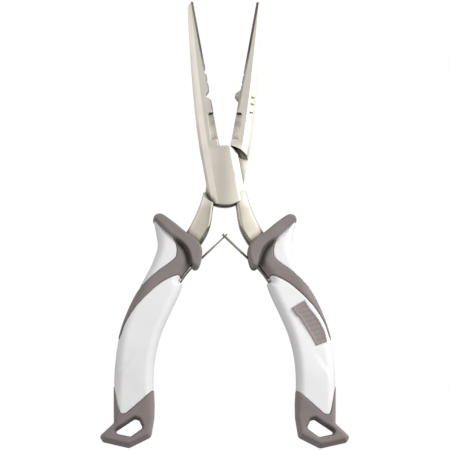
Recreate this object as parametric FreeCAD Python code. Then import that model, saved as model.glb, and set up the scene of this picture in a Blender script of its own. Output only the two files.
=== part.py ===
"""Long-nose fishing pliers with spring-open handles, shown at their spring rest, jaws part open.

Frame: +Z up along the jaws, X across the tool, Y through its thickness with the front at -Y.
The origin is under the pivot, in the middle of the thickness, level with the handle ends.
Each lever is drawn shut, round the pivot, and then turned open by half the rest opening.
The rear lever and all left-hand parts are the right-hand ones turned half a turn about Z.
"""

import FreeCAD, Part

import math
import os

V = FreeCAD.Vector

# Driving dimensions, millimetres and degrees
PIVOT_Z = 125.4            # pivot above the handle ends
REST_HALF_OPEN = 10.1      # each lever's turn from shut to the spring rest

JOINT_HALF = 5.2           # half thickness of the lap joint
LAP_GAP = 0.03             # each plate stops this far short of the mid-plane
SHOULDER_R = 13.8          # joint plates end on this radius about the pivot
SHOULDER_CLEAR = 0.12      # the other lever's shoulder clears a plate by this much
LAP_CHAMFER_DEPTH = 2.4    # towards the mid-plane the rim narrows over this depth
LAP_CHAMFER_R = 2.6        # and by this much in radius
PLATE_SHORT_SIDE = 7.6     # edge of a joint plate on its neck side
PLATE_SHORT_FLAT = 4.3     # and the flat's edge there
PLATE_SHORT_RIM = 0.7      # height of that edge over JOINT_HALF

JAW_REACH = 84.0           # pivot to jaw tip
JAW_ROOT_Z = 10.0          # the jaw's root, seen from the pivot
JAW_TAPER_Z = 14.0         # the jaw's taper starts here
ROOT_OVERLAP_Z = 6.0       # above this a plate's rim isn't narrowed on its own jaw's side
JAW_ROOT_WIDTH = 9.1
JAW_TIP_WIDTH = 2.7
JAW_TIP_HALF = 2.2         # half thickness at the tip
JAW_ROOT_FLAT = 5.4        # the flat front facet reaches this far out at the root
JAW_TIP_FLAT = 1.2
JAW_TAPER_POWER = 1.5
FLAT_TAPER_POWER = 1.4
JAW_STATIONS = 5           # sections the tapered jaw is lofted through, less one
RIM_FRACTION = 0.25        # outer rim height over jaw thickness
SHOULDER_FRACTION = 0.62   # height where the wide bevel turns into the steep outer one
OUTER_BEVEL = 1.0          # width of the steep outer bevel
FACE_CHAMFER = 0.9         # chamfer along both edges of the gripping face
JAW_FACE_GAP = 0.03        # shut jaws stop this far short of the centre plane

TOOTH_PITCH = 1.1
TOOTH_DEPTH = 0.35
TEETH_FROM_Z = 53.5
CRIMP_Z = 38.6             # crimping tooth and its notch
CRIMP_HEIGHT = 2.0
CRIMP_HALF_WIDTH = 2.3
CRIMP_NOSE_WIDTH = 0.35    # the rounded nose starts at this fraction of the tooth's width
CRIMP_NOSE_HEIGHT = 0.8    # and at this fraction of its height
CRIMP_THICK = 0.8          # the tooth is this fraction of the jaw's thickness
CRIMP_CLEAR = 0.3          # the notch is this much larger than the tooth
SCALLOP_R = 2.0
NOTCHED_SCALLOPS = ((50.0, 1.0), (45.0, 0.35))    # height and depth of each hollow
TOOTHED_SCALLOPS = ((49.0, 0.5), (44.4, 0.5))
CUTTER_FROM_Z = 17.3
CUTTER_TO_Z = 29.4
CUTTER_BEVEL = 4.6         # width of the ground bevel
CUTTER_LAND = 0.15         # half thickness left at the cutting edge
SLOT_HEIGHT = 0.7
SLOT_DEPTH = 2.4
NOTCH_ZS = (31.2, 35.2, 38.4)    # notches across the outer ridge of one jaw
NOTCH_R = 0.5
NOTCH_LENGTH = 3.2

NECK_HALF = 4.8            # half thickness of neck and tang
NECK_ROUND = 1.7

RIVET_R = 3.2
RIVET_HEAD_R = 4.6
RIVET_HEAD_DEPTH = 1.6
RIVET_CLEAR = 0.05

GRIP_HALF = 8.0            # half thickness of the grip
GRIP_BEVEL = 3.2           # depth of the bevels along the grip's edges
BEVEL_RUN = 0.8            # a bevel goes in by this much of its depth
RUBBER = 1.6               # thickness of the rubber over the core
GUARD_HALF = 9.0
BADGE_DEPTH = 0.8
BADGE_PROUD = 0.25

LEAF_HALF_WIDTH = 2.0
LEAF_THICK = 0.6
LEAF_EYE_R = 1.6
LEAF_PIN_R = 0.9
LEAF_PIN_CLEAR = 0.04
LEAF_PIN_HALF = 4.4        # half length of the spring pin
CHANNEL_HALF = 2.5         # half width of the channel the leaf moves in
LEAF_ROOT = (21.3, 74.4)   # spring pin, right handle
LEAF_MIDDLE = (17.8, 79.8)
LEAF_BEND = (13.5, 84.6)   # the curved root ends here and the straight arm begins
LEAF_SWING_IN = 13.0       # degrees of room towards the handle, for shutting
LEAF_SWING_OUT = 6.0       # degrees of room away from it
CHANNEL_MARGIN = 0.5
LEAF_APEX = (0.0, 97.6)    # where the two leaves cross
LEAF_TIP_PAST = 1.4        # a leaf runs on past the crossing
FORK_SLOT_HALF = 0.95      # half width of the fork's slot
FORK_SLOT_Z = -3.2         # where the slot starts, from the crossing
FORK_SLOT_X = -2.6
TONGUE_HALF = 0.7          # half width of the tongue in the fork
TONGUE_Z = -5.0            # where the tongue starts, from the crossing
EYE_ROUND = 0.9            # corner radius of the lanyard eye
HEEL_RISE = (0.0, 0.6, 1.0, 0.4)    # how far each heel corner rises per millimetre of inset

BIG = 60.0                 # larger than any thickness that is cut through
PAST = 1.0                 # a cutting tool starts this far outside the surface it cuts


def point(xz, y=0.0):
    return V(xz[0], y, xz[1])


def line(a, b, y=0.0):
    return Part.makeLine(point(a, y), point(b, y))


def spline(points, y=0.0):
    curve = Part.BSplineCurve()
    curve.interpolate([point(p, y) for p in points])
    return curve.toShape()


def face(edges):
    return Part.Face(Part.Wire(Part.__sortEdges__(edges)))


def slab(edges, low_y, high_y):
    """The outline drawn at y = 0 as a plate from low_y to high_y."""
    blank = face(edges)
    blank.translate(V(0, low_y, 0))
    return blank.extrude(V(0, high_y - low_y, 0))


def polygon(points):
    return [line(a, b) for a, b in zip(points, points[1:] + points[:1])]


def disc(radius, low_y, high_y, centre=(0.0, 0.0)):
    return Part.makeCylinder(radius, high_y - low_y, point(centre, low_y), V(0, 1, 0))


def open_by_half(shape):
    """Turn a front lever from shut to the rest opening and put it at its place."""
    placed = shape.copy()
    placed.rotate(V(0, 0, 0), V(0, 1, 0), -REST_HALF_OPEN)
    placed.translate(V(0, 0, PIVOT_Z))
    return placed


def half_turn(shape):
    turned = shape.copy()
    turned.rotate(V(0, 0, 0), V(0, 0, 1), 180)
    return turned


# ---------------------------------------------------------------- levers

def along_jaw(z):
    return max(z - JAW_TAPER_Z, 0.0) / (JAW_REACH - JAW_TAPER_Z)


def jaw_width(z):
    return JAW_TIP_WIDTH + (JAW_ROOT_WIDTH - JAW_TIP_WIDTH) * (1 - along_jaw(z) ** JAW_TAPER_POWER)


def jaw_half(z):
    return JOINT_HALF + (JAW_TIP_HALF - JOINT_HALF) * along_jaw(z)


def jaw_flat(z):
    return JAW_ROOT_FLAT + (JAW_TIP_FLAT - JAW_ROOT_FLAT) * along_jaw(z) ** FLAT_TAPER_POWER


def bevelled_side(width, flat, half):
    """Front corners of a jaw or plate section, from its flat out to its rim."""
    shoulder = (-width + OUTER_BEVEL, -half * SHOULDER_FRACTION)
    return [(-flat, -half), shoulder, (-width, -half * RIM_FRACTION)]


def jaw_section(z):
    half = jaw_half(z)
    front = [(-JAW_FACE_GAP, -half + FACE_CHAMFER), (-FACE_CHAMFER, -half)]
    front += bevelled_side(jaw_width(z), jaw_flat(z), half)
    back = [(x, -y) for x, y in reversed(front)]
    points = [V(x, y, z) for x, y in front + back]
    return Part.makePolygon(points + points[:1])


def jaw_blank():
    length = JAW_REACH - JAW_TAPER_Z
    stations = [JAW_TAPER_Z + length * step / JAW_STATIONS for step in range(JAW_STATIONS + 1)]
    taper = Part.makeLoft([jaw_section(z) for z in stations], True, False)
    root = Part.Face(jaw_section(JAW_ROOT_Z)).extrude(V(0, 0, JAW_TAPER_Z - JAW_ROOT_Z))
    return taper.fuse(root)


def jaw_tip_round():
    """A block that takes the sharp outer corner off the tip."""
    above, beside = JAW_REACH + PAST, -JAW_TIP_WIDTH - PAST
    slope = [(beside, JAW_REACH - 3.2), (-2.4, JAW_REACH - 1.1), (-1.0, JAW_REACH), (-1.0, above)]
    return slab(polygon(slope + [(beside, above)]), -BIG, BIG)


def teeth():
    """A comb of V grooves across the gripping face, tip to TEETH_FROM_Z."""
    count = int((JAW_REACH - TEETH_FROM_Z) / TOOTH_PITCH)
    rim = [(PAST, TEETH_FROM_Z)]
    for index in range(count):
        z = TEETH_FROM_Z + index * TOOTH_PITCH
        rim.append((-JAW_FACE_GAP, z))
        rim.append((-TOOTH_DEPTH, z + TOOTH_PITCH / 2))
    top = TEETH_FROM_Z + count * TOOTH_PITCH
    rim.extend([(-JAW_FACE_GAP, top), (PAST, top)])
    return slab(polygon(rim), -BIG, BIG)


def crimp_outline(height, half_width):
    """A rounded V, tip at x = height, standing on the gripping face."""
    base, shoulder = -JAW_FACE_GAP, height * CRIMP_NOSE_HEIGHT
    nose_half = half_width * CRIMP_NOSE_WIDTH
    side = [(base, CRIMP_Z - half_width), (shoulder, CRIMP_Z - nose_half)]
    far = [(shoulder, CRIMP_Z + nose_half), (base, CRIMP_Z + half_width)]
    nose = Part.Arc(point(side[1]), point((height, CRIMP_Z)), point(far[0])).toShape()
    return [line(*side), nose, line(*far), line(far[1], side[0])]


def cutter_bevel():
    """Ground bevels, front and back, that leave a cutting edge on the centre plane."""
    wedges = []
    for side in (-1, 1):
        outside = side * (JOINT_HALF + PAST)
        corners = [(PAST, side * CUTTER_LAND), (-CUTTER_BEVEL, outside), (PAST, outside)]
        points = [V(x, y, CUTTER_FROM_Z) for x, y in corners]
        wedge = Part.Face(Part.makePolygon(points + points[:1]))
        wedges.append(wedge.extrude(V(0, 0, CUTTER_TO_Z - CUTTER_FROM_Z)))
    return wedges


def relief_slot():
    return Part.makeBox(SLOT_DEPTH + PAST, BIG, SLOT_HEIGHT, V(-SLOT_DEPTH, -BIG / 2, CUTTER_TO_Z))


def ridge_notches():
    """Small round notches across the outer ridge of one jaw, on its back as it is drawn."""
    cuts = []
    along = V(2, 1, 0).normalize()
    for z in NOTCH_ZS:
        ridge = V(-jaw_width(z) + OUTER_BEVEL, jaw_half(z) * SHOULDER_FRACTION, z)
        start = ridge - along * (NOTCH_LENGTH / 2)
        cuts.append(Part.makeCylinder(NOTCH_R, NOTCH_LENGTH, start, along))
    return cuts


def lap_space(radius, side):
    """Disc with a conical rim next to the mid-plane, on the front (-1) or the back (1) of it."""
    outer = disc(radius, LAP_CHAMFER_DEPTH, BIG)
    inner = Part.makeCone(radius - LAP_CHAMFER_R, radius, LAP_CHAMFER_DEPTH, V(0, 0, 0), V(0, 1, 0))
    space = outer.fuse(inner)
    return space if side > 0 else space.mirror(V(0, 0, 0), V(0, 1, 0))


def plate_blank():
    """Front half of the lap joint: a bevelled bar cut to the shoulder radius."""
    corners = bevelled_side(JAW_ROOT_WIDTH, JAW_ROOT_FLAT, JOINT_HALF)[::-1]
    corners.append((PLATE_SHORT_FLAT, -JOINT_HALF))
    corners.append((PLATE_SHORT_SIDE, -PLATE_SHORT_RIM * JOINT_HALF))
    corners.append((PLATE_SHORT_SIDE, -LAP_GAP))
    corners.append((-JAW_ROOT_WIDTH, -LAP_GAP))
    points = [V(x, y, -SHOULDER_R) for x, y in corners]
    bar = Part.Face(Part.makePolygon(points + points[:1])).extrude(V(0, 0, 2 * SHOULDER_R))
    top, middle, side, out = (4.2, 13.2), (6.6, 10.9), (PLATE_SHORT_SIDE, 5.5), (14.0, 14.0)
    round_off = [Part.Arc(point(top), point(middle), point(side)).toShape(), line(side, out), line(out, top)]
    corner = V(-BIG - FACE_CHAMFER, -BIG, ROOT_OVERLAP_Z)
    own_root = Part.makeBox(BIG, BIG, JAW_TAPER_Z - ROOT_OVERLAP_Z, corner)
    rim = disc(SHOULDER_R, -BIG, BIG).common(own_root)
    return bar.common(lap_space(SHOULDER_R, -1).fuse(rim)).cut(slab(round_off, -BIG, BIG))


def neck_blank():
    """Neck and tang: leaves the joint straight down and swings out into the handle."""
    inner = [(2.5, -9.0), (2.6, -17.0), (2.6, -25.0), (5.2, -33.4), (13.8, -48.7), (20.2, -72.8)]
    inner.append((21.8, -93.0))
    outer = [(8.4, -9.0), (9.0, -15.5), (11.8, -26.5), (19.9, -46.0), (25.2, -71.9), (25.6, -93.0)]
    edges = [spline(inner), spline(outer), line(inner[0], outer[0]), line(inner[-1], outer[-1])]
    blank = slab(edges, -NECK_HALF, NECK_HALF)
    long_edges = [e for e in blank.Edges if abs(abs(e.CenterOfMass.y) - NECK_HALF) < 0.01 and e.Length > 30]
    return blank.makeFillet(NECK_ROUND, long_edges)


def crotch_facets():
    """Facets that widen down the inner edge of the neck, front and back."""
    start, outside, inside = V(2.4, -NECK_HALF, -22.4), V(8.4, -NECK_HALF, -37.0), V(4.9, -1.4, -33.0)
    facet = Part.Face(Part.makePolygon([start, outside, inside, start]))
    below = V(0, -JOINT_HALF, -40)
    half_space = facet.Surface.toShape(-BIG, BIG, -BIG, BIG).makeHalfSpace(below)
    length, depth = 26.0, JOINT_HALF
    block = Part.makeBox(14.0, depth, length, V(0, -depth, start.z - length))
    front = block.common(half_space)
    back = front.mirror(V(0, 0, 0), V(0, 1, 0))
    return [front, back]


def scallops(places):
    """Shallow round hollows across the gripping face, each at a height and of a depth."""
    return [disc(SCALLOP_R, -BIG, BIG, (SCALLOP_R - depth, z)) for z, depth in places]


def notched_jaw(jaw):
    """The jaw that takes the crimping tooth: its notch, one deep hollow and one shallow one."""
    notch = slab(crimp_outline(-CRIMP_HEIGHT - CRIMP_CLEAR, CRIMP_HALF_WIDTH + CRIMP_CLEAR), -BIG, BIG)
    return jaw.cut([notch] + scallops(NOTCHED_SCALLOPS))


def toothed_jaw(jaw):
    """The jaw with the crimping tooth, two shallow hollows and the notches on its ridge."""
    reach = jaw_half(CRIMP_Z) * CRIMP_THICK
    tooth = slab(crimp_outline(CRIMP_HEIGHT, CRIMP_HALF_WIDTH), -reach, reach)
    return jaw.fuse(tooth).cut(ridge_notches() + scallops(TOOTHED_SCALLOPS))


def lever(shape_jaw, rivet_clear):
    """One lever, shut, drawn as the front one: jaw on the left, neck on the right."""
    bore = lap_space(SHOULDER_R + SHOULDER_CLEAR, 1)
    bore.translate(V(0, -LAP_GAP, 0))
    jaw = shape_jaw(jaw_blank().cut([jaw_tip_round(), teeth(), relief_slot()] + cutter_bevel()))
    neck = neck_blank().cut(crotch_facets())
    body = jaw.fuse(neck).cut(bore).fuse(plate_blank())
    hole = disc(RIVET_R + rivet_clear, -BIG, BIG)
    mouth = V(0, -JOINT_HALF, 0)
    radii = (RIVET_HEAD_R + rivet_clear, RIVET_R + rivet_clear)
    sink = Part.makeCone(*radii, RIVET_HEAD_DEPTH, mouth, V(0, 1, 0))
    return body.cut([hole, sink]).removeSplitter()


def rivet():
    shank = disc(RIVET_R, -JOINT_HALF, JOINT_HALF)
    heads = []
    for side in (-1, 1):
        base = V(0, side * JOINT_HALF, 0)
        heads.append(Part.makeCone(RIVET_HEAD_R, RIVET_R, RIVET_HEAD_DEPTH, base, V(0, -side, 0)))
    pin = shank.fuse(heads).removeSplitter()
    pin.translate(V(0, 0, PIVOT_Z))
    return pin


# ---------------------------------------------------------------- right handle

def handle_edges(inset=0.0, y=0.0):
    """Grip outline in the XZ plane, without the guard flange, moved inwards by inset."""
    outer = [(32.8, 104.6), (30.7, 94.5), (32.8, 86.0), (39.8, 72.5), (46.0, 58.0), (49.5, 42), (50.4, 12)]
    inner = [(31.9, 8.0), (32.4, 30.0), (30.9, 46.0), (25.2, 61.0), (19.2, 75.0)]
    outer = [(x - inset, z) for x, z in outer]
    inner = [(x + inset, z) for x, z in inner]
    heel = [(56.4 - inset, 4.8), (54.6 - inset, 2.4), (43.3, 0.0), (33.2 + inset, 4.8)]
    heel = [(x, z + rise * inset) for (x, z), rise in zip(heel, HEEL_RISE)]
    top_inner = (14.0 + inset, 90.0)
    edges = [spline(outer, y), spline(inner, y)]
    edges.append(line(outer[-1], heel[0], y))
    for a, b in zip(heel, heel[1:] + inner[:1]):
        edges.append(line(a, b, y))
    cove = [point(place, y) for place in (inner[-1], (17.0 + inset, 81.6), top_inner)]
    edges.append(Part.Arc(*cove).toShape())
    edges.append(line(top_inner, outer[0], y))
    return edges


def envelope(half, bevel, inset=0.0):
    """The whole grip as one block with bevelled long edges."""
    sections = []
    for y, more in ((-half, bevel), (-half + bevel, 0.0), (half - bevel, 0.0), (half, bevel)):
        sections.append(Part.Wire(Part.__sortEdges__(handle_edges(inset + more * BEVEL_RUN, y))))
    return Part.makeLoft(sections, True, True)


def guard_flange():
    """Finger guard: a proud band from the horn tip down to the inner side."""
    upper = [(33.2, 105.6), (29.4, 107.4), (24.2, 104.2), (17.7, 98.9), (12.6, 95.1), (10.4, 90.6)]
    upper.append((11.6, 83.4))
    lower = [(14.8, 82.7), (16.2, 87.4), (20.4, 93.4), (27.4, 98.9), (32.4, 104.2)]
    edges = [spline(upper), spline(lower), line(upper[0], lower[-1]), line(upper[-1], lower[0])]
    return slab(edges, -GUARD_HALF, GUARD_HALF)


def strap_region():
    """The rubber strap that sweeps from the guard over the grip to its outer edge."""
    horn_side = [(23.6, 95.6), (22.1, 90.2), (24.4, 85.1), (33.7, 78.0), (39.6, 72.2), (52.0, 54.5)]
    body_side = [(20.8, 78.7), (26.2, 76.8), (35.5, 69.7), (40.9, 63.7), (45.2, 56.9), (47.7, 50.4)]
    body_side.append((52.0, 48.4))
    corners = [(13.0, 94.0), (9.0, 76.8), (19.4, 76.6)]
    edges = [spline(horn_side), spline(body_side), line(horn_side[-1], body_side[-1])]
    for a, b in zip([horn_side[0]] + corners, corners + [body_side[0]]):
        edges.append(line(a, b))
    return slab(edges, -BIG, BIG)


def tail_region():
    rim = [(60.0, 31.0), (50.2, 28.8), (48.3, 18.6), (46.4, 15.6), (44.4, 16.2), (31.0, 27.2), (28.0, 27.2)]
    edges = polygon(rim + [(28.0, -2.0), (60.0, -2.0)])
    return slab(edges, -BIG, BIG)


def lanyard_eye():
    corners = [(51.6, 5.8), (49.5, 3.8), (42.9, 3.1), (36.8, 8.0), (38.6, 13.4), (40.8, 13.9)]
    hole = slab(polygon(corners), -BIG, BIG)
    upright = [e for e in hole.Edges if abs(e.tangentAt(e.FirstParameter).y) > 0.9]
    return hole.makeFillet(EYE_ROUND, upright)


def leaf_path():
    """Centre line of a leaf: tangent to its eye, a gentle bend, then straight to the tip."""
    across = LEAF_APEX[0] - LEAF_BEND[0]
    up = LEAF_APEX[1] - LEAF_BEND[1]
    length = math.hypot(across, up)
    tip = (LEAF_APEX[0] + LEAF_TIP_PAST * across / length, LEAF_APEX[1] + LEAF_TIP_PAST * up / length)
    return LEAF_ROOT, LEAF_MIDDLE, LEAF_BEND, tip


def leaf_edges():
    root, middle, bend, tip = leaf_path()
    across, up = tip[0] - bend[0], tip[1] - bend[1]
    length = math.hypot(across, up)
    normal = (-up / length * LEAF_THICK / 2, across / length * LEAF_THICK / 2)
    sides = []
    for side in (1, -1):
        dx, dz = side * normal[0], side * normal[1]
        points = [(p[0] + dx, p[1] + dz) for p in (root, middle, bend, tip)]
        curve = Part.Arc(*[point(p) for p in points[:3]]).toShape()
        sides.append((points, [curve, line(points[2], points[3])]))
    (first, a), (second, b) = sides
    return a + b + [line(first[0], second[0]), line(first[3], second[3])]


def spring_leaf(forked):
    strip = slab(leaf_edges(), -LEAF_HALF_WIDTH, LEAF_HALF_WIDTH)
    eye = disc(LEAF_EYE_R, -LEAF_HALF_WIDTH, LEAF_HALF_WIDTH, LEAF_ROOT)
    leaf = strip.fuse(eye).cut(disc(LEAF_PIN_R + LEAF_PIN_CLEAR, -BIG, BIG, LEAF_ROOT))
    if forked:
        corner = V(FORK_SLOT_X, -FORK_SLOT_HALF, LEAF_APEX[1] + FORK_SLOT_Z)
        slot = Part.makeBox(BIG, 2 * FORK_SLOT_HALF, BIG, corner)
        return leaf.cut(slot).removeSplitter()
    near_tip = Part.makeBox(BIG, BIG, BIG, V(-BIG / 2, -BIG / 2, LEAF_APEX[1] + TONGUE_Z))
    middle = Part.makeBox(BIG, 2 * TONGUE_HALF, BIG, V(-BIG / 2, -TONGUE_HALF, LEAF_APEX[1] + TONGUE_Z))
    return leaf.cut(near_tip.cut(middle)).removeSplitter()


def spring_pin():
    return disc(LEAF_PIN_R, -LEAF_PIN_HALF, LEAF_PIN_HALF, LEAF_ROOT)


def swung(xz, degrees, margin):
    """A leaf point swung about the spring pin, towards the handle if positive, and moved on by margin."""
    angle = math.radians(degrees)
    dx, dz = xz[0] - LEAF_ROOT[0], xz[1] - LEAF_ROOT[1]
    turned = (dx * math.cos(angle) + dz * math.sin(angle), -dx * math.sin(angle) + dz * math.cos(angle))
    reach = math.hypot(*turned)
    push = math.copysign(margin + LEAF_THICK / 2, degrees)
    x = LEAF_ROOT[0] + turned[0] + push * turned[1] / reach
    return x, LEAF_ROOT[1] + turned[1] - push * turned[0] / reach


def leaf_channel():
    """Room for the leaf to swing in: a fan about its eye and a round socket for the eye."""
    root, middle, bend, tip = leaf_path()
    inward = [swung(p, LEAF_SWING_IN, CHANNEL_MARGIN) for p in (middle, bend, tip)]
    outward = [swung(p, -LEAF_SWING_OUT, CHANNEL_MARGIN) for p in (tip, bend, middle)]
    foot_in = (root[0] + LEAF_EYE_R, root[1])
    foot_out = (root[0] - LEAF_EYE_R - CHANNEL_MARGIN, root[1])
    fan = slab(polygon([foot_in] + inward + outward + [foot_out]), -CHANNEL_HALF, CHANNEL_HALF)
    socket = disc(LEAF_EYE_R + CHANNEL_MARGIN, -CHANNEL_HALF, CHANNEL_HALF, LEAF_ROOT)
    return fan.fuse(socket)


def badge():
    """Flag-shaped inlay: a wide head and a band that follows the grip's outer edge."""
    rim = [(36.2, 67.2), (30.2, 63.6), (32.5, 60.2), (33.6, 59.6), (38.5, 51.5), (41.3, 46.2), (46.3, 48.2),
           (45.3, 52.7), (42.1, 58.9), (38.1, 63.9)]
    return slab(polygon(rim), -GRIP_HALF - BADGE_PROUD, -GRIP_HALF + BADGE_DEPTH)


def build():
    front = open_by_half(lever(notched_jaw, 0.0))
    rear = half_turn(open_by_half(lever(toothed_jaw, RIVET_CLEAR)))
    grip = envelope(GRIP_HALF, GRIP_BEVEL)
    inner_grip = envelope(GRIP_HALF - RUBBER, GRIP_BEVEL, RUBBER)
    flange = guard_flange()
    strap = grip.cut(inner_grip).common(strap_region())
    channel = leaf_channel()
    guard = flange.fuse(strap).cut([front, channel]).removeSplitter()
    tail = grip.common(tail_region()).cut([lanyard_eye(), front])
    core = grip.cut([flange, strap, tail_region(), front, channel, spring_pin()])
    parts = {
        "front_lever": front,
        "rear_lever": rear,
        "pivot_rivet": rivet(),
        "right_guard": guard,
        "right_tail_cap": tail,
        "right_badge": badge(),
        "right_grip_core": core.cut(badge()),
        "right_spring_pin": spring_pin(),
        "right_spring_leaf": spring_leaf(forked=True),
        "left_guard": half_turn(guard),
        "left_tail_cap": half_turn(tail),
        "left_grip_core": half_turn(core),
        "left_spring_pin": half_turn(spring_pin()),
        "left_spring_leaf": half_turn(spring_leaf(forked=False)),
    }
    return parts


def main():
    os.makedirs("parts", exist_ok=True)
    for name, shape in build().items():
        print(name, "solids", len(shape.Solids), "volume", round(shape.Volume, 1), "valid", shape.isValid())
        shape.exportStep(os.path.join("parts", name + ".step"))


main()
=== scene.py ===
"""Looks for the fishing pliers: steel from the CAD, and grips, guards, tails and badge made here.

The frame is the CAD's: metres, +Z along the jaws, front at -Y. The moulded pieces are drawn in
millimetres as closed outlines in the XZ plane, swelled into solids through Y as a distance field,
and skinned with a surface net. The left handle is the right one turned half a turn about Z.
"""

import math

import bpy
import numpy as np
from mathutils import Matrix, Vector


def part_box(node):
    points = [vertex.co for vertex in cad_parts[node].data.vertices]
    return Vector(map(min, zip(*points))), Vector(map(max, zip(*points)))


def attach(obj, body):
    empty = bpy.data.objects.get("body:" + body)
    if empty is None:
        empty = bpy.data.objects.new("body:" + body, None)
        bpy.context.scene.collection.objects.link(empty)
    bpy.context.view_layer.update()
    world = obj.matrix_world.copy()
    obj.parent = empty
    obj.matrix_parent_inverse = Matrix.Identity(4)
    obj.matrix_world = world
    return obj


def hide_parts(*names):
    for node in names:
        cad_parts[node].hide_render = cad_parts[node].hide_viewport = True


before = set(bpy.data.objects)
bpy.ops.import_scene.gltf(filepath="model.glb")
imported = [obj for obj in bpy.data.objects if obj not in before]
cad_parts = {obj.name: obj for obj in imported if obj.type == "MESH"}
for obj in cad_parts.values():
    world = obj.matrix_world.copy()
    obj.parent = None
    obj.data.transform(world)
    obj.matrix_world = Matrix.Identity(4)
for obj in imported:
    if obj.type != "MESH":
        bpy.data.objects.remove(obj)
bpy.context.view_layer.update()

MM = 0.001
STEP = 0.4                      # surface net cell, mm
HALF_TURN = Matrix.Rotation(math.pi, 4, "Z")


def box_mm(node):
    low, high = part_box(node)
    return low / MM, high / MM


GRIP_HALF = box_mm("right_tail_cap")[1].y
GUARD_HALF = box_mm("right_guard")[1].y
BADGE_FRONT = -box_mm("right_badge")[0].y
SEAM = 0.12                     # gap left between two moulded colours
RUBBER_PROUD = 0.22             # the rubber stands this far above the plastic
RUBBER_DEPTH = 1.6
RUBBER_RIM = 0.35               # radius on the rubber's edges
GRIP_REACH, GRIP_POWER = 4.4, 2.3       # how far in from its outline a piece is rounded over,
FLANGE_REACH, FLANGE_POWER = 1.2, 2.0   # and how squarely: see pillow()
TAIL_REACH, TAIL_POWER = 2.0, 1.8
WAIST = 0.9                     # the grip is this much thinner at its ends, each side
CREASE_DIP, CREASE_WIDTH = 0.5, 1.8
VALLEY = 2.0                    # the grip dips this much below the inner end of the guard's flange
VALLEY_WIDTH = 1.8
SLOT_HALF = 2.5                 # half width of the slot the spring leaf moves in
SLOT_FLOOR = 76.2               # the slot stops here in the plastic, which closes round the leaf's eye
SLOT_RIM = 0.2
EYE_RIM = 1.2                   # radius on the rims of the lanyard eye
LEAF_PATH = ((21.3, 74.4), (17.8, 79.8), (13.5, 84.6), (-1.0, 98.5))    # right leaf: pin, middle, bend, tip
LEAF_SWING_IN, LEAF_SWING_OUT = 13.0, -6.0      # degrees of room to each side of rest
LEAF_ROOM = 0.8                 # and this far beyond
BADGE_SLOPE = math.radians(62)  # the badge runs this far from level
BADGE_RIB_PITCH = 2.4
JAW_TILT = math.radians(10.1)   # each jaw leans this far from upright at rest
CROWN_RADIUS = 0.030            # metres, of the barrel the joint's faces are ground to
CROWN_LIMIT = 0.3
STUDIO_STRENGTH = 1.75          # what reflections see
TENT_STRENGTH = 0.50            # what diffuse surfaces see
PIVOT_Z = sum(v.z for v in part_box("pivot_rivet")) / 2
PAINTED_SHADE = (0.05, 0.042, 0.035)    # colour of the painted shade that corners are darkened towards
CAMERA_AZIMUTH, CAMERA_ELEVATION = math.radians(-1.6), math.radians(-9.5)
CAMERA_TARGET = (0.0001, 0.0, 0.1029)
CAMERA_DISTANCE = 1.15
MIDDLE = (0.0, 0.0, 0.11)       # of the tool, where the fill light points


# ---------------------------------------------------------------- outlines

def curve(points, per_span=10):
    """A smooth line through the points (chord-length Catmull-Rom)."""
    p = np.array([points[0]] + list(points) + [points[-1]], float)
    p[0] = 2 * p[1] - p[2]
    p[-1] = 2 * p[-2] - p[-3]
    out = []
    for i in range(1, len(p) - 2):
        gaps = [max(np.linalg.norm(p[i + k] - p[i + k - 1]), 1e-6) ** 0.5 for k in (0, 1, 2)]
        t0, t1 = 0.0, gaps[0]
        t2, t3 = gaps[0] + gaps[1], sum(gaps)
        for t in np.linspace(t1, t2, per_span, endpoint=False):
            a1 = (t1 - t) / (t1 - t0) * p[i - 1] + (t - t0) / (t1 - t0) * p[i]
            a2 = (t2 - t) / (t2 - t1) * p[i] + (t - t1) / (t2 - t1) * p[i + 1]
            a3 = (t3 - t) / (t3 - t2) * p[i + 1] + (t - t2) / (t3 - t2) * p[i + 2]
            b1 = (t2 - t) / (t2 - t0) * a1 + (t - t0) / (t2 - t0) * a2
            b2 = (t3 - t) / (t3 - t1) * a2 + (t - t1) / (t3 - t1) * a3
            out.append((t2 - t) / (t2 - t1) * b1 + (t - t1) / (t2 - t1) * b2)
    out.append(p[-2])
    return [tuple(q) for q in out]


def rounded(corners, steps=6):
    """Straight runs with each (x, z, radius) corner rounded by an arc; the ends keep radius 0."""
    out = []
    for i, (x, z, radius) in enumerate(corners):
        here = np.array((x, z))
        if radius == 0:
            out.append((x, z))
            continue
        before = np.array(corners[i - 1][:2]) - here
        after = np.array(corners[(i + 1) % len(corners)][:2]) - here
        before, after = before / np.linalg.norm(before), after / np.linalg.norm(after)
        half = math.acos(np.clip(np.dot(before, after), -1, 1)) / 2
        reach = radius / math.tan(half)
        start, end = here + before * reach, here + after * reach
        for t in np.linspace(0, 1, steps):
            q = (1 - t) ** 2 * start + 2 * t * (1 - t) * here + t ** 2 * end
            out.append(tuple(q))
    return out


def grip_outline():
    outer = curve([(32.8, 105.0), (31.4, 97.8), (30.8, 92.8), (32.9, 85.6), (38.2, 75.0), (43.9, 63.6),
                   (47.9, 52.0), (50.0, 37.0), (50.4, 20.0)])
    heel = rounded([(50.4, 14.0, 0), (50.3, 11.6, 1.5), (56.9, 5.5, 1.8), (55.2, 2.9, 1.6),
                    (43.3, 0.2, 1.8), (33.3, 5.2, 2.5), (31.9, 14.0, 0)])
    inner = curve([(31.9, 20.0), (32.4, 30.0), (31.7, 41.0), (29.0, 52.2), (25.3, 61.0), (20.6, 71.2),
                   (19.2, 75.2)])
    cove = curve([(20.9, 76.2), (19.7, 78.3), (18.2, 80.6), (16.3, 82.8), (14.4, 84.8), (13.8, 88.0)])
    return outer + heel + inner + cove + [(14.5, 92.0)]


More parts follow.
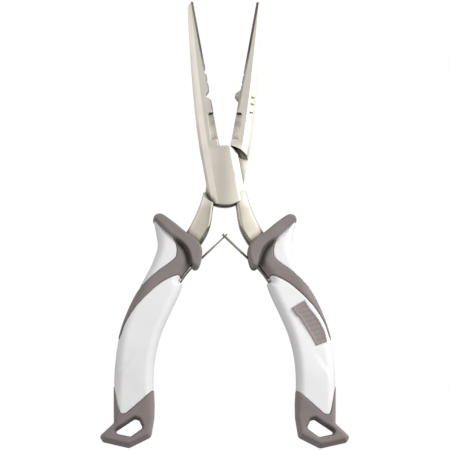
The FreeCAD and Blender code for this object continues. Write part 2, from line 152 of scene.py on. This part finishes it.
def flange_outline():
    upper = curve([(33.1, 104.6), (32.5, 106.4), (30.9, 107.3), (29.0, 107.3), (24.2, 104.2), (17.7, 98.9),
                   (12.9, 95.4), (10.8, 92.6), (10.3, 90.2), (10.5, 87.6), (11.1, 84.9), (12.1, 82.8),
                   (13.4, 82.1)])
    lower = curve([(14.8, 82.6), (15.7, 84.6), (16.5, 87.6), (17.8, 90.8), (20.8, 93.9), (24.2, 96.0),
                   (27.5, 98.9), (29.8, 101.4), (31.6, 103.1), (32.6, 103.9)])
    return upper + lower


def strap_outline():
    horn_side = curve([(23.9, 96.2), (22.5, 92.6), (22.1, 89.6), (22.6, 87.0), (24.4, 85.1), (30.8, 80.4),
                       (36.2, 75.6), (39.7, 72.2), (46.0, 63.0), (53.0, 53.0)])
    body_side = curve([(52.0, 44.0), (47.7, 50.4), (45.2, 56.9), (40.9, 63.7), (35.5, 69.7), (29.2, 75.1),
                       (23.7, 78.0), (21.2, 78.7), (20.1, 77.8), (19.1, 76.6), (18.0, 75.2)])
    return horn_side + body_side + [(9.0, 75.2), (9.0, 94.0), (13.0, 98.0)]


def tail_outline():
    edge = curve([(50.2, 28.8), (49.2, 23.8), (48.3, 18.9)])
    corner = rounded([(48.0, 17.6, 0), (47.3, 15.0, 1.5), (44.9, 15.4, 1.5), (37.0, 22.3, 0)])
    beyond = [(33.0, 25.9), (28.0, 29.6), (28.0, -6.0), (60.0, -6.0), (60.0, 40.0), (51.6, 38.0)]
    return edge + corner + beyond


def eye_outline():
    return rounded([(49.6, 7.7, 1.0), (40.8, 13.6, 1.2), (38.8, 12.9, 1.0), (37.1, 9.2, 1.3),
                    (42.6, 5.2, 1.6), (48.6, 6.4, 1.2)])


def crease_outline():
    """The lower outer part of the grip, bounded inwards by the soft crease on its faces."""
    return curve([(38.6, 46.0), (40.0, 43.0), (43.6, 37.0), (46.2, 32.9), (47.3, 28.8), (47.3, 25.6),
                  (46.0, 21.4)]) + [(54.0, 21.4), (54.0, 46.0)]


def badge_outline():
    outer = curve([(46.3, 48.2), (45.3, 52.7), (42.1, 58.9), (38.1, 63.9)])
    inner = curve([(33.6, 59.6), (38.5, 51.5), (41.3, 46.2)])
    return [(36.2, 67.2), (30.2, 63.6), (32.5, 60.2)] + inner + outer


def slot_outline():
    """Room for the spring leaf: the fan it sweeps about its pin, in the middle of the thickness."""
    pin, middle, bend, tip = LEAF_PATH
    inward = [swung(p, LEAF_SWING_IN) for p in (middle, bend, tip)]
    outward = [swung(p, LEAF_SWING_OUT) for p in (tip, bend, middle)]
    return [(pin[0] + 2.1, pin[1] - 1.0)] + inward + outward + [(pin[0] - 2.1, pin[1] - 1.0)]


def swung(place, degrees):
    """A leaf point swung about the spring pin, and moved on by the room that is left beyond."""
    angle = math.radians(degrees)
    dx, dz = place[0] - LEAF_PATH[0][0], place[1] - LEAF_PATH[0][1]
    sine, cosine = math.sin(angle), math.cos(angle)
    turned = np.array((dx * cosine + dz * sine, dz * cosine - dx * sine))
    across = np.array((turned[1], -turned[0])) / np.linalg.norm(turned)
    return tuple(np.array(LEAF_PATH[0]) + turned + math.copysign(LEAF_ROOM, degrees) * across)


# ---------------------------------------------------------------- distance fields

class Grid:
    """Cells of size STEP over a box; fields are arrays over (x, y, z)."""

    def __init__(self, low, high, step=STEP):
        self.step = step
        self.low = np.array(low, float) - 2.3 * step
        counts = np.ceil((np.array(high) - self.low) / step).astype(int) + 4
        self.x, self.y, self.z = (self.low[k] + step * np.arange(counts[k]) for k in range(3))

    def outline(self, points):
        """Signed distance to a closed outline in XZ, negative inside, shaped to broadcast over y."""
        px, pz = np.meshgrid(self.x, self.z, indexing="ij")
        best = np.full(px.shape, 1e9)
        inside = np.zeros(px.shape, bool)
        for (ax, az), (bx, bz) in zip(points, points[1:] + points[:1]):
            dx, dz = bx - ax, bz - az
            length = dx * dx + dz * dz
            if length < 1e-12:
                continue
            t = np.clip(((px - ax) * dx + (pz - az) * dz) / length, 0, 1)
            best = np.minimum(best, (px - ax - t * dx) ** 2 + (pz - az - t * dz) ** 2)
            if az != bz:
                crosses = (az > pz) != (bz > pz)
                inside ^= crosses & (px < ax + (pz - az) * dx / dz)
        distance = np.sqrt(best)
        return np.where(inside, -distance, distance)[:, None, :]

    def thickness(self):
        return np.abs(self.y)[None, :, None]


def pillow(depth, thick, half, reach, power):
    """A plate of half thickness `half` whose rim curves down to the outline over `reach`."""
    rim = np.clip(1 + depth / reach, 0, None)
    return ((rim ** power + (thick / half) ** power) ** (1 / power) - 1) * np.minimum(half, reach)


def meet(a, b, radius):
    """Where both fields are inside, with the shared edge rounded."""
    over_a, over_b = np.maximum(a + radius, 0), np.maximum(b + radius, 0)
    return np.minimum(np.maximum(a, b), -radius) + np.sqrt(over_a ** 2 + over_b ** 2)


def join(a, b, radius):
    """Where either field is inside, with the valley between them filled to a radius."""
    under_a, under_b = np.maximum(radius - a, 0), np.maximum(radius - b, 0)
    return np.maximum(np.minimum(a, b), radius) - np.sqrt(under_a ** 2 + under_b ** 2)


def skin(field, grid):
    """Surface net of field = 0: one vertex per crossed cell, one quad per crossed grid edge."""
    counts = np.array(field.shape) - 1
    total = np.zeros(tuple(counts) + (3,))
    hits = np.zeros(tuple(counts))
    corners = [np.array((i, j, k)) for i in (0, 1) for j in (0, 1) for k in (0, 1)]

    def at(corner):
        return field[tuple(slice(corner[k], corner[k] + counts[k]) for k in range(3))]

    for a in corners:
        for axis in range(3):
            if a[axis]:
                continue
            b = a.copy()
            b[axis] = 1
            fa, fb = at(a), at(b)
            cross = (fa < 0) != (fb < 0)
            t = np.where(cross, fa / np.where(cross, fa - fb, 1), 0)
            for k in range(3):
                total[..., k] += np.where(cross, a[k] + (t if k == axis else 0), 0)
            hits += cross
    used = hits > 0
    index = np.full(tuple(counts), -1)
    index[used] = np.arange(used.sum())
    cells = np.argwhere(used)
    verts = (cells + total[used] / hits[used][:, None]) * grid.step + grid.low
    quads = []
    for axis in range(3):
        u, v = (axis + 1) % 3, (axis + 2) % 3
        low = [slice(1, -1)] * 3
        high = [slice(1, -1)] * 3
        low[axis], high[axis] = slice(0, -1), slice(1, None)
        fa, fb = field[tuple(low)], field[tuple(high)]
        where = np.argwhere((fa < 0) != (fb < 0))
        base = where.copy()
        base[:, u] += 1
        base[:, v] += 1
        ring = []
        for du, dv in ((0, 0), (-1, 0), (-1, -1), (0, -1)):
            cell = base.copy()
            cell[:, u] += du
            cell[:, v] += dv
            ring.append(index[tuple(cell.T)])
        quad = np.stack(ring, 1)
        leaves = (fa < 0)[tuple(where.T)]
        quad[~leaves] = quad[~leaves][:, ::-1]
        quads.append(quad)
    return verts, np.concatenate(quads)


def mesh_object(name, verts_mm, faces):
    mesh = bpy.data.meshes.new(name)
    mesh.from_pydata((verts_mm * MM).tolist(), [], faces.tolist())
    mesh.validate()
    mesh.polygons.foreach_set("use_smooth", [True] * len(mesh.polygons))
    mesh.update()
    piece = bpy.data.objects.new(name, mesh)
    bpy.context.scene.collection.objects.link(piece)
    return piece


def turned_copy(piece, name):
    mesh = piece.data.copy()
    mesh.transform(HALF_TURN)
    copy = bpy.data.objects.new(name, mesh)
    bpy.context.scene.collection.objects.link(copy)
    return copy


# ---------------------------------------------------------------- handle pieces

def handle_fields():
    """Fields of the core, the rubber guard with its strap, and the tail, on one grid."""
    grid = Grid((8.0, -GUARD_HALF, -0.6), (58.0, GUARD_HALF, 110.0))
    thick = grid.thickness()
    z = grid.z[None, None, :]
    rise = np.clip((z - 8.0) / 60.0, 0, 1)
    half = (GRIP_HALF - WAIST) + WAIST * np.sin(rise * math.pi) ** 2
    depth = grid.outline(grip_outline())
    fade = np.clip((z - 22.0) / 6.0, 0, 1) * np.clip((45.0 - z) / 8.0, 0, 1)
    half = half - CREASE_DIP * fade * np.clip(-grid.outline(crease_outline()) / CREASE_WIDTH, 0, 1)
    flange_2d = grid.outline(flange_outline())
    inner_end = np.clip((25.0 - grid.x[:, None, None]) / 6.0, 0, 1)
    half = half - VALLEY * inner_end * np.exp(-(np.maximum(flange_2d, 0) / VALLEY_WIDTH) ** 2)
    grip = pillow(depth, thick, half, GRIP_REACH, GRIP_POWER)
    proud = grip - RUBBER_PROUD
    strap_2d = grid.outline(strap_outline())
    tail_2d = grid.outline(tail_outline())
    flange = pillow(flange_2d, thick, GUARD_HALF, FLANGE_REACH, FLANGE_POWER)
    strap = meet(proud, strap_2d + SEAM, RUBBER_RIM)
    strap = np.maximum(strap, -(grip + RUBBER_DEPTH))
    slot = np.maximum(grid.outline(slot_outline()), thick - SLOT_HALF)
    guard = meet(join(strap, flange, RUBBER_RIM), -slot, SLOT_RIM)
    tail_block = pillow(depth, thick, GRIP_HALF - 0.6, TAIL_REACH, TAIL_POWER)
    blend = np.clip((z - 14.0) / 14.0, 0, 1)
    tail_skin = tail_block * (1 - blend) + (grip - RUBBER_PROUD) * blend
    eye = grid.outline(eye_outline())
    tail = meet(meet(tail_skin, tail_2d + SEAM, RUBBER_RIM), -eye, EYE_RIM)
    outside_rubber = np.maximum(grip, np.maximum(-strap_2d, -tail_2d))
    under_strap = np.maximum(grip + RUBBER_DEPTH + SEAM, -tail_2d)
    core = np.maximum(np.minimum(outside_rubber, under_strap), -(flange_2d + 1.5))
    core = meet(core, -np.maximum(slot, SLOT_FLOOR - z), SLOT_RIM)
    return grid, core, guard, tail


def make_handles():
    grid, core, guard, tail = handle_fields()
    pieces = {}
    for part, field in (("grip", core), ("guard", guard), ("tail", tail)):
        verts, faces = skin(field, grid)
        right = mesh_object("right_" + part + "_skin", verts, faces)
        pieces["right_" + part] = right
        pieces["left_" + part] = turned_copy(right, "left_" + part + "_skin")
    return pieces


def make_badge():
    """Curved plate let into the right grip: a raised rim round a field of plain cross ribs."""
    grid = Grid((30.0, -GRIP_HALF - 1.0, 46.0), (48.0, -GRIP_HALF + 3.0, 69.0), 0.3)
    outline = grid.outline(badge_outline())
    y = grid.y[None, :, None]
    along = grid.x[:, None, None] * math.cos(BADGE_SLOPE) - grid.z[None, None, :] * math.sin(BADGE_SLOPE)
    ribs = 0.17 * np.cos(along * 2 * math.pi / BADGE_RIB_PITCH)
    sunk = 0.22 * np.clip((-outline - 0.7) / 0.4, 0, 1)
    front = -BADGE_FRONT + sunk - ribs * np.clip((-outline - 1.4) / 0.5, 0, 1)
    field = meet(meet(outline, front - y, 0.25), y + GRIP_HALF - 2.0, 0.1)
    verts, faces = skin(field, grid)
    return mesh_object("right_badge_plate", verts, faces)


# ---------------------------------------------------------------- materials

def material(name):
    mat = bpy.data.materials.new(name)
    mat.use_nodes = True
    nodes, links = mat.node_tree.nodes, mat.node_tree.links
    shader = nodes["Principled BSDF"]
    return mat, nodes, links, shader


def noise(nodes, links, scale, detail, stretch=(1, 1, 1)):
    where = nodes.new("ShaderNodeTexCoord")
    mapping = nodes.new("ShaderNodeMapping")
    mapping.inputs["Scale"].default_value = stretch
    texture = nodes.new("ShaderNodeTexNoise")
    texture.inputs["Scale"].default_value = scale
    texture.inputs["Detail"].default_value = detail
    links.new(where.outputs["Object"], mapping.inputs["Vector"])
    links.new(mapping.outputs["Vector"], texture.inputs["Vector"])
    return texture.outputs["Fac"]


def ramp(nodes, links, source, low, high, start=0.35, end=0.65):
    node = nodes.new("ShaderNodeValToRGB")
    node.color_ramp.elements[0].position = start
    node.color_ramp.elements[1].position = end
    node.color_ramp.elements[0].color = (*low, 1)
    node.color_ramp.elements[1].color = (*high, 1)
    links.new(source, node.inputs["Fac"])
    return node.outputs["Color"]


def spread(nodes, links, source, low, high):
    node = nodes.new("ShaderNodeMapRange")
    node.inputs["To Min"].default_value = low
    node.inputs["To Max"].default_value = high
    links.new(source, node.inputs["Value"])
    return node.outputs["Result"]


def bump(nodes, links, source, height, strength=1.0, normal=None):
    node = nodes.new("ShaderNodeBump")
    node.inputs["Distance"].default_value = height
    node.inputs["Strength"].default_value = strength
    links.new(source, node.inputs["Height"])
    if normal is not None:
        links.new(normal, node.inputs["Normal"])
    return node.outputs["Normal"]


def bevelled(nodes, radius):
    node = nodes.new("ShaderNodeBevel")
    node.samples = 8
    node.inputs["Radius"].default_value = radius
    return node.outputs["Normal"]


def axis_mix(nodes, links, weights, offset):
    """The sum of the object coordinates, each times its weight, plus an offset in metres."""
    where = nodes.new("ShaderNodeTexCoord")
    dot = nodes.new("ShaderNodeVectorMath")
    dot.operation = "DOT_PRODUCT"
    dot.inputs[1].default_value = weights
    add = nodes.new("ShaderNodeMath")
    add.inputs[1].default_value = offset
    links.new(where.outputs["Object"], dot.inputs[0])
    links.new(dot.outputs["Value"], add.inputs[0])
    return add.outputs["Value"]


def fade_in(nodes, links, source, start, end):
    node = nodes.new("ShaderNodeMapRange")
    node.interpolation_type = "SMOOTHSTEP"
    node.inputs["From Min"].default_value = start
    node.inputs["From Max"].default_value = end
    links.new(source, node.inputs["Value"])
    return node.outputs["Result"]


def product(nodes, links, a, b):
    node = nodes.new("ShaderNodeMath")
    node.operation = "MULTIPLY"
    links.new(a, node.inputs[0])
    links.new(b, node.inputs[1])
    return node.outputs["Value"]


def limited(nodes, links, source, scale, limit):
    """The source times a scale, held between minus and plus a limit."""
    scaled = nodes.new("ShaderNodeMath")
    scaled.operation = "MULTIPLY"
    scaled.inputs[1].default_value = scale
    clamp = nodes.new("ShaderNodeClamp")
    clamp.inputs["Min"].default_value = -limit
    clamp.inputs["Max"].default_value = limit
    links.new(source, scaled.inputs[0])
    links.new(scaled.outputs["Value"], clamp.inputs["Value"])
    return clamp.outputs["Result"]


def crowned(nodes, links, normal):
    """The normal leant sideways as on a shallow barrel across the joint and necks, not on the jaws."""
    lean = limited(nodes, links, axis_mix(nodes, links, (1, 0, 0), 0), 1 / CROWN_RADIUS, CROWN_LIMIT)
    height = axis_mix(nodes, links, (0, 0, 1), -PIVOT_Z)
    below_jaws = fade_in(nodes, links, height, 16 * MM, 11 * MM)
    across = nodes.new("ShaderNodeCombineXYZ")
    links.new(product(nodes, links, lean, below_jaws), across.inputs["X"])
    to_world = nodes.new("ShaderNodeVectorTransform")
    to_world.vector_type = "VECTOR"
    to_world.convert_from = "OBJECT"
    to_world.convert_to = "WORLD"
    add, unit = nodes.new("ShaderNodeVectorMath"), nodes.new("ShaderNodeVectorMath")
    unit.operation = "NORMALIZE"
    links.new(across.outputs["Vector"], to_world.inputs["Vector"])
    links.new(normal, add.inputs[0])
    links.new(to_world.outputs["Vector"], add.inputs[1])
    links.new(add.outputs["Vector"], unit.inputs[0])
    return unit.outputs["Vector"]


def with_painted_shade(nodes, links, colour, reach, power, own=False):
    """The colour with painted shade: darkened in corners narrower than the reach, or only in the piece's
    own corners.
    """
    occlusion = nodes.new("ShaderNodeAmbientOcclusion")
    occlusion.samples = 8
    occlusion.only_local = own
    occlusion.inputs["Distance"].default_value = reach
    open_part = nodes.new("ShaderNodeMath")
    open_part.operation = "POWER"
    open_part.inputs[1].default_value = power
    links.new(occlusion.outputs["AO"], open_part.inputs[0])
    blend = nodes.new("ShaderNodeMix")
    blend.data_type = "RGBA"
    blend.inputs["A"].default_value = (*PAINTED_SHADE, 1)
    links.new(open_part.outputs["Value"], blend.inputs["Factor"])
    links.new(colour, blend.inputs["B"])
    return blend.outputs["Result"]


def darker_necks(nodes, links, colour):
    """The steel colour turned darker and warmer below the joint's plates."""
    height = axis_mix(nodes, links, (0, 0, 1), -PIVOT_Z)
    below = limited(nodes, links, fade_in(nodes, links, height, -12 * MM, -16 * MM), 0.5, 1)
    blend = nodes.new("ShaderNodeMix")
    blend.data_type = "RGBA"
    blend.inputs["B"].default_value = (0.50, 0.47, 0.39, 1)
    links.new(below, blend.inputs["Factor"])
    links.new(colour, blend.inputs["A"])
    return blend.outputs["Result"]


def steel(name, dark, light, rough=(0.24, 0.36), edge=0.25 * MM):
    """Satin nickel over forged steel: fine grinding along the tool, soft cloudiness, a slight crown."""
    mat, nodes, links, shader = material(name)
    cloud = noise(nodes, links, 60, 3)
    grind = noise(nodes, links, 900, 4, (1, 1, 0.05))
    colour = darker_necks(nodes, links, ramp(nodes, links, cloud, dark, light))
    # painted shade: the steel colour is darkened in corners and crevices within 3 mm, also between parts
    links.new(with_painted_shade(nodes, links, colour, 3 * MM, 1.5), shader.inputs["Base Color"])
    shader.inputs["Metallic"].default_value = 1.0
    links.new(spread(nodes, links, grind, *rough), shader.inputs["Roughness"])
    normal = bump(nodes, links, grind, 0.02 * MM, 0.35, bevelled(nodes, edge) if edge else None)
    links.new(crowned(nodes, links, normal), shader.inputs["Normal"])
    return mat


def paint_shade_on_teeth(mat, side):
    """Painted shade in the teeth, and a darker edge painted all along the gripping face of one jaw, where
    the serrations and the other jaw shade them.
    """
    nodes, links = mat.node_tree.nodes, mat.node_tree.links
    shader = nodes["Principled BSDF"]
    sine, cosine = math.sin(JAW_TILT), math.cos(JAW_TILT)
    inwards = axis_mix(nodes, links, (side * cosine, 0, -sine), PIVOT_Z * sine)
    upwards = axis_mix(nodes, links, (side * sine, 0, cosine), -PIVOT_Z * cosine)
    near_face = fade_in(nodes, links, inwards, 1.35 * MM, 0.95 * MM)
    shaded_edge = limited(nodes, links, fade_in(nodes, links, upwards, 29 * MM, 33 * MM), 0.35, 1)
    toothed = limited(nodes, links, fade_in(nodes, links, upwards, 46 * MM, 62 * MM), 0.6, 1)
    both = nodes.new("ShaderNodeMath")
    links.new(shaded_edge, both.inputs[0])
    links.new(toothed, both.inputs[1])
    mask = product(nodes, links, near_face, both.outputs["Value"])
    blend = nodes.new("ShaderNodeMix")
    blend.data_type = "RGBA"
    # painted shade: the near-black colour laid over the teeth and the gripping edge
    blend.inputs["B"].default_value = (0.10, 0.09, 0.08, 1)
    colour = shader.inputs["Base Color"].links[0].from_socket
    links.new(mask, blend.inputs["Factor"])
    links.new(colour, blend.inputs["A"])
    links.new(blend.outputs["Result"], shader.inputs["Base Color"])
    return mat


def white_plastic():
    mat, nodes, links, shader = material("white_grip_plastic")
    cloud = noise(nodes, links, 45, 2)
    grain = noise(nodes, links, 1800, 3)
    colour = ramp(nodes, links, cloud, (0.80, 0.80, 0.81), (0.86, 0.86, 0.865))
    links.new(colour, shader.inputs["Base Color"])
    links.new(spread(nodes, links, grain, 0.30, 0.42), shader.inputs["Roughness"])
    shader.inputs["Subsurface Weight"].default_value = 0.12
    shader.inputs["Subsurface Radius"].default_value = (0.004, 0.0035, 0.003)
    shader.inputs["Subsurface Scale"].default_value = 0.4
    links.new(bump(nodes, links, grain, 0.015 * MM, 0.4), shader.inputs["Normal"])
    return mat


def grey_rubber(name, dark, light):
    mat, nodes, links, shader = material(name)
    cloud = noise(nodes, links, 70, 4)
    grain = noise(nodes, links, 2600, 2)
    colour = ramp(nodes, links, cloud, dark, light)
    # painted shade: the rubber colour is darkened in its own hollows, such as the valley under the flange
    # and the lanyard eye
    links.new(with_painted_shade(nodes, links, colour, 6 * MM, 2.0, own=True), shader.inputs["Base Color"])
    links.new(spread(nodes, links, grain, 0.5, 0.68), shader.inputs["Roughness"])
    shader.inputs["Sheen Weight"].default_value = 0.12
    shader.inputs["Sheen Roughness"].default_value = 0.5
    links.new(bump(nodes, links, grain, 0.05 * MM, 0.5), shader.inputs["Normal"])
    return mat


def paint(piece, mat):
    piece.data.materials.clear()
    piece.data.materials.append(mat)


def crisp_shading():
    """A modifier group: weld, shade smooth, keep edges sharper than 24 degrees crisp."""
    tree = bpy.data.node_groups.new("crisp_shading", "GeometryNodeTree")
    tree.interface.new_socket("Geometry", in_out="INPUT", socket_type="NodeSocketGeometry")
    tree.interface.new_socket("Geometry", in_out="OUTPUT", socket_type="NodeSocketGeometry")
    start, end = tree.nodes.new("NodeGroupInput"), tree.nodes.new("NodeGroupOutput")
    weld = tree.nodes.new("GeometryNodeMergeByDistance")
    weld.inputs["Distance"].default_value = 1e-6
    smooth, sharp = (tree.nodes.new("GeometryNodeSetShadeSmooth") for _ in range(2))
    sharp.domain = "EDGE"
    sharp.inputs["Shade Smooth"].default_value = False
    angle = tree.nodes.new("GeometryNodeInputMeshEdgeAngle")
    steep = tree.nodes.new("FunctionNodeCompare")
    steep.operation = "GREATER_THAN"
    steep.inputs[1].default_value = math.radians(24)
    link = tree.links.new
    link(start.outputs[0], weld.inputs["Geometry"])
    link(weld.outputs["Geometry"], smooth.inputs["Geometry"])
    link(smooth.outputs["Geometry"], sharp.inputs["Geometry"])
    link(angle.outputs["Unsigned Angle"], steep.inputs[0])
    link(steep.outputs["Result"], sharp.inputs["Selection"])
    link(sharp.outputs["Geometry"], end.inputs[0])
    return tree


def dress_cad_steel():
    dark, light = (0.80, 0.765, 0.705), (0.88, 0.85, 0.795)
    pins = steel("pin_steel", dark, light, edge=0)
    spring = steel("spring_steel", (0.38, 0.385, 0.335), (0.47, 0.475, 0.42), (0.28, 0.4), 0.05 * MM)
    finish = {"front_lever": paint_shade_on_teeth(steel("front_lever_steel", dark, light), -1),
              "rear_lever": paint_shade_on_teeth(steel("rear_lever_steel", dark, light), 1),
              "pivot_rivet": pins, "right_spring_pin": pins, "left_spring_pin": pins,
              "right_spring_leaf": spring, "left_spring_leaf": spring}
    shading = crisp_shading()
    for node, mat in finish.items():
        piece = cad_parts[node]
        paint(piece, mat)
        piece.modifiers.new("crisp", "NODES").node_group = shading


def dress_handles():
    pieces = make_handles()
    plastic = white_plastic()
    rubber = grey_rubber("grey_grip_rubber", (0.210, 0.181, 0.175), (0.242, 0.210, 0.204))
    finish = {"grip": (plastic, "grip_core", "white_plastic"), "guard": (rubber, "guard", "grey_rubber"),
              "tail": (rubber, "tail_cap", "grey_rubber")}
    for side, body in (("right", "front_side"), ("left", "rear_side")):
        for part, (mat, node, slot) in finish.items():
            piece = pieces[side + "_" + part]
            paint(piece, mat)
            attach(piece, body)
            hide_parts(side + "_" + node)
    badge = make_badge()
    paint(badge, grey_rubber("badge_rubber", (0.28, 0.245, 0.242), (0.33, 0.29, 0.285)))
    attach(badge, "front_side")
    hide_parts("right_badge")


# ---------------------------------------------------------------- stage, light, camera

def make_floor():
    """A pale floor that is only there from above: a camera below it looks straight through."""
    mesh = bpy.data.meshes.new("floor")
    side = 2.5
    corners = [(-side, -side, 0), (side, -side, 0), (side, side, 0), (-side, side, 0)]
    mesh.from_pydata(corners, [], [(0, 1, 2, 3)])
    floor = bpy.data.objects.new("floor", mesh)
    bpy.context.scene.collection.objects.link(floor)
    mat, nodes, links, shader = material("floor_paper")
    grain = noise(nodes, links, 40, 2)
    paper = ramp(nodes, links, grain, (0.80, 0.80, 0.80), (0.83, 0.83, 0.83))
    # painted shadow: the evenly glowing floor is darkened where the tool stands near it
    links.new(with_painted_shade(nodes, links, paper, 60 * MM, 0.8), shader.inputs["Emission Color"])
    shader.inputs["Base Color"].default_value = (0, 0, 0, 1)
    shader.inputs["Specular IOR Level"].default_value = 0
    shader.inputs["Emission Strength"].default_value = 1
    mat.cycles.emission_sampling = "NONE"
    clear = nodes.new("ShaderNodeBsdfTransparent")
    side_of = nodes.new("ShaderNodeNewGeometry")
    mix = nodes.new("ShaderNodeMixShader")
    links.new(side_of.outputs["Backfacing"], mix.inputs["Fac"])
    links.new(shader.outputs["BSDF"], mix.inputs[1])
    links.new(clear.outputs["BSDF"], mix.inputs[2])
    links.new(mix.outputs["Shader"], nodes["Material Output"].inputs["Surface"])
    paint(floor, mat)
    floor.visible_glossy = False
    floor.visible_diffuse = False


def graded(nodes, links, source, stops):
    """A colour ramp over -1 to 1 of the source; each stop is a place and a grey or a colour."""
    spread_out = nodes.new("ShaderNodeMapRange")
    spread_out.inputs["From Min"].default_value = -1
    links.new(source, spread_out.inputs["Value"])
    node = nodes.new("ShaderNodeValToRGB")
    elements = node.color_ramp.elements
    for place, value in stops[1:-1]:
        elements.new((place + 1) / 2)
    for element, (place, value) in zip(elements, stops):
        element.position = (place + 1) / 2
        element.color = (*value, 1) if isinstance(value, tuple) else (value, value, value, 1)
    links.new(spread_out.outputs["Result"], node.inputs["Fac"])
    return node.outputs["Color"]


def background(nodes, links, colour, strength):
    """A background shader; colour and strength are each a value or another node's output."""
    node = nodes.new("ShaderNodeBackground")
    for name, value in (("Color", colour), ("Strength", strength)):
        if isinstance(value, bpy.types.NodeSocket):
            links.new(value, node.inputs[name])
        else:
            node.inputs[name].default_value = value
    return node.outputs["Background"]


def choose(nodes, links, switch, off, on):
    mix = nodes.new("ShaderNodeMixShader")
    links.new(switch, mix.inputs["Fac"])
    links.new(off, mix.inputs[1])
    links.new(on, mix.inputs[2])
    return mix.outputs["Shader"]


def make_world():
    """White to the camera, an even tent to diffuse light, and to reflections a studio: dark below,
    a bright wall above, brightest on the right."""
    world = bpy.data.worlds.new("studio")
    bpy.context.scene.world = world
    world.use_nodes = True
    nodes, links = world.node_tree.nodes, world.node_tree.links
    where = nodes.new("ShaderNodeTexCoord")
    split = nodes.new("ShaderNodeSeparateXYZ")
    links.new(where.outputs["Generated"], split.inputs["Vector"])
    height = graded(nodes, links, split.outputs["Z"], [
        (-1.0, (0.02, 0.016, 0.013)), (-0.76, (0.03, 0.025, 0.022)), (-0.46, (0.52, 0.50, 0.475)),
        (0.05, (0.66, 0.63, 0.59)), (0.4, (0.80, 0.785, 0.76)), (1.0, (0.86, 0.855, 0.85))])
    side = graded(nodes, links, split.outputs["X"], [
        (-1.0, 0.84), (-0.5, 0.70), (-0.08, 0.50), (0.06, 0.54), (0.28, 0.83), (0.55, 1.0), (0.78, 1.4),
        (1.0, 1.4)])
    front = graded(nodes, links, split.outputs["Y"], [(-1.0, 0.92), (-0.35, 1.0), (0.3, 0.75), (1.0, 0.5)])
    strength = limited(nodes, links, product(nodes, links, side, front), STUDIO_STRENGTH, 10)
    reflected = background(nodes, links, height, strength)
    tent = background(nodes, links, (1.0, 0.985, 0.975, 1), TENT_STRENGTH)
    seen = background(nodes, links, (1, 1, 1, 1), 1)
    path = nodes.new("ShaderNodeLightPath")
    lit = choose(nodes, links, path.outputs["Is Glossy Ray"], tent, reflected)
    surface = choose(nodes, links, path.outputs["Is Camera Ray"], lit, seen)
    links.new(surface, nodes["World Output"].inputs["Surface"])


def make_light(name, place, target, size, power, colour=(1, 1, 1)):
    data = bpy.data.lights.new(name, "AREA")
    data.shape = "RECTANGLE"
    data.size, data.size_y = size
    data.energy = power
    data.color = colour
    light = bpy.data.objects.new(name, data)
    light.visible_glossy = False
    light.visible_camera = False
    bpy.context.scene.collection.objects.link(light)
    light.location = place
    light.rotation_euler = (Vector(target) - Vector(place)).to_track_quat("-Z", "Y").to_euler()


def make_sun(name, towards, strength):
    """Soft light from far away, so that it leaves no pool on the floor."""
    data = bpy.data.lights.new(name, "SUN")
    data.energy = strength
    data.angle = math.radians(40)
    light = bpy.data.objects.new(name, data)
    light.visible_glossy = False
    bpy.context.scene.collection.objects.link(light)
    light.rotation_euler = Vector(towards).to_track_quat("Z", "Y").to_euler()


def make_camera():
    """Slightly below and to the left of square on, through a long lens."""
    level = math.cos(CAMERA_ELEVATION)
    back = Vector((math.sin(CAMERA_AZIMUTH) * level, -math.cos(CAMERA_AZIMUTH) * level,
                   math.sin(CAMERA_ELEVATION)))
    data = bpy.data.cameras.new("camera")
    data.lens = 200
    data.sensor_width = 36
    camera = bpy.data.objects.new("camera", data)
    bpy.context.scene.collection.objects.link(camera)
    camera.location = Vector(CAMERA_TARGET) + back * CAMERA_DISTANCE
    camera.rotation_euler = (-back).to_track_quat("-Z", "Y").to_euler()
    bpy.context.scene.camera = camera


dress_cad_steel()
dress_handles()
make_floor()
make_world()
make_light("key", (0.24, -0.20, 0.20), (0.04, 0.0, 0.05), (0.2, 0.2), 0.82)
make_light("fill", (-0.7, -0.5, 0.35), MIDDLE, (0.4, 0.7), 0.6, (1.0, 0.98, 0.96))
make_sun("front", (0.0, -1.0, 0.05), 0.5)
make_sun("back", (0.3, 1.0, 0.4), 1.1)
make_camera()
bpy.context.scene.view_settings.view_transform = "Standard"
